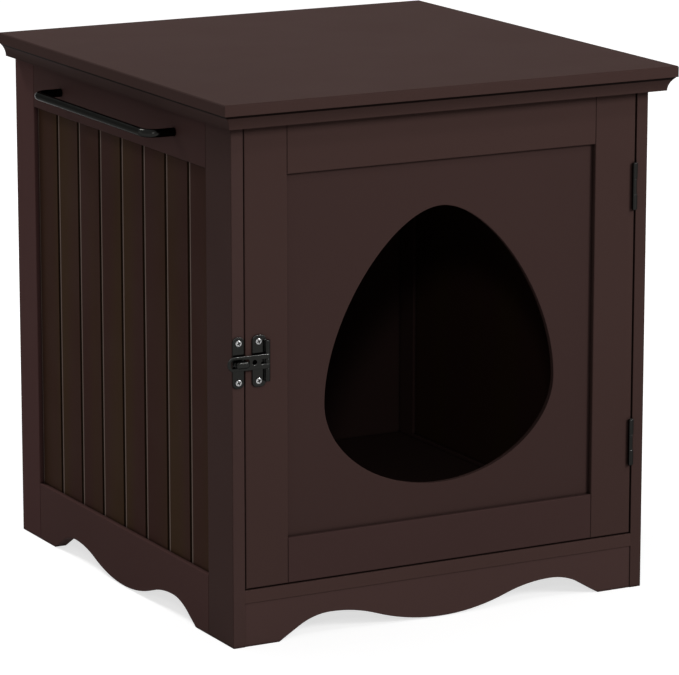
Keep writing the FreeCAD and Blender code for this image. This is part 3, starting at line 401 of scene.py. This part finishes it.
# Shares of the paint's colour, set board by board to the photo's levels under the lamps
# below. They hold some of that light as colour; the object itself is most likely one paint.
BOARD_TINTS = {
    "door_panel": (0.90, 0.90, 0.92),
    "door_bottom_rail": (0.98, 0.96, 1.0),
    "front_skirt": (1.22, 1.22, 1.25),
    "bottom_panel": (1.15, 1.15, 1.15),
    "left_front_stile": (1.08, 1.10, 1.12),
    "left_rear_stile": (1.45, 1.25, 1.32),
    "left_bottom_rail": (1.35, 1.22, 1.25),
    "left_top_rail": (1.10, 1.02, 1.05),
    "right_rear_stile": (1.10, 1.06, 1.06),
    "right_bottom_rail": (1.15, 1.10, 1.12),
}


# --- the CAD nodes get the materials of their slots -------------------------------------
def dress_nodes():
    """Every node gets its slots' materials, and the boards paint tinted or marked with painted light
    and shade.
    """
    for name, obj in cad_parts.items():
        for slot in obj.material_slots:
            base = slot.material.name.split(".")[0]
            if base not in MATERIALS:
                raise RuntimeError("no material for slot " + base + " of node " + name)
            slot.material = MATERIALS[base]
        if name in BOARD_TINTS:
            obj.material_slots[0].material = paint_material("paint_" + name, BOARD_TINTS[name])
    for name in ("front_moulding", "left_moulding", "right_moulding"):
        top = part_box(name)[1][2]
        quirk_shadow = moulding_material("paint_" + name, top)
        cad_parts[name].material_slots[0].material = quirk_shadow
    for name, side in (("left_beaded_panel", 0), ("right_beaded_panel", 1)):
        low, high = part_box(name)
        face = (low, high)[side][0]           # the low x on the left, the high x on the right
        beaded = beaded_material("paint_" + name, (low[1] + high[1]) / 2, face)
        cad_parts[name].material_slots[0].material = beaded


dress_nodes()


# --- screws with cross recesses ---------------------------------------------------------
def add_ring(mesh, radius, height):
    """A ring of vertices round the screw's axis."""
    ring = []
    for index in range(HEAD_SEGMENTS):
        angle = 2 * math.pi * index / HEAD_SEGMENTS
        ring.append(mesh.verts.new((radius * math.cos(angle), radius * math.sin(angle), height)))
    return ring


def join_rings(mesh, low, high):
    """Faces between two rings with the same number of vertices."""
    count = len(low)
    for index in range(count):
        after = (index + 1) % count
        mesh.faces.new((low[index], low[after], high[after], high[index]))


def cross_outline(reach, half_width, inner):
    """The cross recess seen from above; inner is how far its inside corners are cut back."""
    points = []
    for turn in range(4):
        angle = turn * math.pi / 2
        corner = [(reach, -half_width), (reach, half_width), (half_width + inner, half_width),
                  (half_width, half_width + inner)]
        for x, y in corner:
            points.append((x * math.cos(angle) - y * math.sin(angle),
                           x * math.sin(angle) + y * math.cos(angle)))
    return points


def add_screw(mesh, seat, direction, head, shank, length, dome):
    """One screw whose head sits at seat and whose shank runs along direction.

    With dome the head stands proud by that height; without it the head is countersunk."""
    start = len(mesh.verts)
    radius = head / 2
    core = shank / 2
    if dome:
        profile = [(radius, 0.0), (radius, dome * 0.35), (radius * 0.94, dome * 0.70),
                   (radius * 0.84, dome * 0.90), (radius * 0.70, dome)]
        under = [(radius, 0.0), (core, 0.0)]
    else:
        profile = [(radius, 0.0), (radius * 0.96, 0.0)]
        under = [(radius, 0.0), (core, -(radius - core))]
    depth = under[-1][1]
    steps = int((length + depth) / THREAD_PITCH)
    for step in range(steps):
        low = depth - (step + 0.5) * THREAD_PITCH
        taper = 1.0 if step < steps - 3 else (steps - step) / 4
        under.append((core * 0.78 * taper, low))
        under.append((core * taper, low - THREAD_PITCH / 2))
    under.append((core * 0.1, -length))

    rings = [add_ring(mesh, reach, height) for reach, height in reversed(under)]
    rings += [add_ring(mesh, reach, height) for reach, height in profile[1:]]
    for low, high in zip(rings, rings[1:]):
        join_rings(mesh, low, high)
    mesh.faces.new(list(reversed(rings[0])))

    top = profile[-1][1]
    reach = radius * CROSS_REACH
    width = radius * CROSS_WIDTH
    sink = radius * 0.55
    rim = [mesh.verts.new((x, y, top)) for x, y in cross_outline(reach, width, width * 0.5)]
    floor = [mesh.verts.new((x, y, top - sink))
             for x, y in cross_outline(reach * 0.62, width * 0.55, width * 0.3)]
    # the recess faces take the second, darkened steel: painted shade
    before = len(mesh.faces)
    join_rings(mesh, floor, rim)
    mesh.faces.new(floor)
    mesh.faces.ensure_lookup_table()
    for face in mesh.faces[before:]:
        face.material_index = 1
    border = []
    for loop in (rings[-1], rim):
        for index in range(len(loop)):
            pair = (loop[index], loop[(index + 1) % len(loop)])
            edge = mesh.edges.get(pair) or mesh.edges.new(pair)
            border.append(edge)
    bmesh.ops.triangle_fill(mesh, edges=border, use_beauty=True)

    mesh.verts.ensure_lookup_table()
    turn = (-Vector(direction)).to_track_quat("Z", "Y").to_matrix().to_4x4()
    placed = Matrix.Translation(Vector(seat)) @ turn @ Matrix.Rotation(math.radians(CROSS_TURN), 4, "Z")
    bmesh.ops.transform(mesh, matrix=placed, verts=mesh.verts[start:])


def screws_piece(name, node, body, slot, screws, size):
    """One piece that stands for a CAD node of screws; screws holds (seat, direction)."""
    mesh = bmesh.new()
    for seat, direction in screws:
        add_screw(mesh, seat, direction, **size)
    bmesh.ops.recalc_face_normals(mesh, faces=mesh.faces)
    data = bpy.data.meshes.new(name)
    mesh.to_mesh(data)
    mesh.free()
    data.materials.append(MATERIALS[slot])
    data.materials.append(SHADED_RECESS_STEEL)
    data.shade_smooth()
    data.set_sharp_from_angle(angle=math.radians(SHARP_ANGLE))
    piece = bpy.data.objects.new(name, data)
    bpy.context.scene.collection.objects.link(piece)
    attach(piece, body)
    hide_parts(node)


def centre(node, axis):
    """The middle of a CAD node's box along one axis."""
    low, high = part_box(node)
    return (low[axis] + high[axis]) / 2


def hasp_screws():
    """Two proud screws in each plate of the hasp."""
    size = {"head": HASP_SCREW_HEAD, "shank": HASP_SCREW_SHANK, "length": HASP_SCREW_LENGTH,
            "dome": HASP_SCREW_DOME}
    for plate, node, body in (("keeper_plate", "keeper_screws", "cabinet"),
                              ("hasp_leaf", "hasp_leaf_screws", "door")):
        x = centre(node, 0)
        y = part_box(node)[0][1] + HASP_SCREW_DOME
        z = centre(plate, 2)
        places = [((x, y, z + side * HASP_SCREW_SPACING / 2), (0, 1, 0)) for side in (-1, 1)]
        screws_piece(plate + "_cross_screws", node, body, "bright_steel", places, size)


def hinge_screws():
    """Two countersunk screws in each leaf of both hinges."""
    size = {"head": HINGE_SCREW_HEAD, "shank": HINGE_SCREW_SHANK, "length": HINGE_SCREW_LENGTH,
            "dome": 0.0}
    for node, body, side in (("hinge_cabinet_screws", "cabinet", 1),
                             ("hinge_door_screws", "door", -1)):
        low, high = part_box(node)
        x = low[0] if side > 0 else high[0]
        y = centre(node, 1)
        places = []
        for pin in ("lower_hinge_pin", "upper_hinge_pin"):
            for step in (-1, 1):
                z = centre(pin, 2) + step * HINGE_SCREW_SPACING / 2
                places.append(((x, y, z), (side, 0, 0)))
        screws_piece(node.replace("_screws", "_cross_screws"), node, body, "black_metal",
                     places, size)


hasp_screws()
hinge_screws()


# --- floor, light and camera ------------------------------------------------------------
def seen_directly(nodes):
    """1 for rays from the camera, in mirrors and through glass; 0 for the light itself."""
    rays = nodes.add("LightPath")
    direct = nodes.math("MAXIMUM", rays.outputs["Is Camera Ray"], rays.outputs["Is Glossy Ray"])
    return nodes.math("MAXIMUM", direct, rays.outputs["Is Transmission Ray"])


def floor_material():
    """A pale floor that takes the object's shadow and glows white to the camera."""
    nodes = new_nodes("floor")
    diffuse = nodes.add("BsdfDiffuse")
    diffuse.inputs["Color"].default_value = (FLOOR_ALBEDO, FLOOR_ALBEDO, FLOOR_ALBEDO, 1.0)
    reach = nodes.add("VectorMath", operation="LENGTH")
    nodes.link(nodes.place(), reach.inputs[0])
    level = nodes.spread(reach.outputs["Value"], GLOW_NEAR_REACH, GLOW_FAR_REACH,
                         FLOOR_GLOW, FLOOR_GLOW_FAR)
    glow = nodes.add("Emission")
    nodes.link(nodes.math("MULTIPLY", seen_directly(nodes), level), glow.inputs["Strength"])
    both = nodes.add("AddShader")
    nodes.link(diffuse.outputs[0], both.inputs[0])
    nodes.link(glow.outputs[0], both.inputs[1])
    return nodes.finish("OutputMaterial", both)


def make_floor():
    half = FLOOR_SIZE / 2
    corners = [(-half, -half, 0), (half, -half, 0), (half, half, 0), (-half, half, 0)]
    mesh = bpy.data.meshes.new("floor")
    mesh.from_pydata(corners, [], [(0, 1, 2, 3)])
    mesh.materials.append(floor_material())
    floor = bpy.data.objects.new("floor", mesh)
    bpy.context.scene.collection.objects.link(floor)


def make_world():
    """White where it is seen directly, an even weak light for the object."""
    world = bpy.data.worlds.new("studio")
    bpy.context.scene.world = world
    nodes = Nodes(world)
    light = nodes.add("Background")
    light.inputs["Strength"].default_value = WORLD_LIGHT
    white = nodes.add("Background")
    both = nodes.add("MixShader")
    nodes.link(seen_directly(nodes), both.inputs[0])
    nodes.link(light.outputs[0], both.inputs[1])
    nodes.link(white.outputs[0], both.inputs[2])
    nodes.finish("OutputWorld", both)


def area_lamp(name, place, target, size, watts):
    light = bpy.data.lights.new(name, "AREA")
    light.shape = "SQUARE"
    light.size = size
    light.energy = watts
    lamp = bpy.data.objects.new(name, light)
    lamp.location = place
    direction = Vector(target) - Vector(place)
    lamp.rotation_euler = direction.to_track_quat("-Z", "Y").to_euler()
    bpy.context.scene.collection.objects.link(lamp)


def make_camera():
    data = bpy.data.cameras.new("camera")
    data.lens = CAMERA_LENS
    data.sensor_width = SENSOR_WIDTH
    data.sensor_fit = "HORIZONTAL"
    data.clip_end = 100.0
    camera = bpy.data.objects.new("camera", data)
    camera.location = CAMERA_PLACE
    camera.rotation_euler = (math.radians(90 - CAMERA_PITCH), 0, math.radians(-CAMERA_YAW))
    bpy.context.scene.collection.objects.link(camera)
    bpy.context.scene.camera = camera


make_floor()
make_world()
for lamp in LAMPS:
    area_lamp(*lamp)
make_camera()
bpy.context.scene.view_settings.view_transform = "Standard"
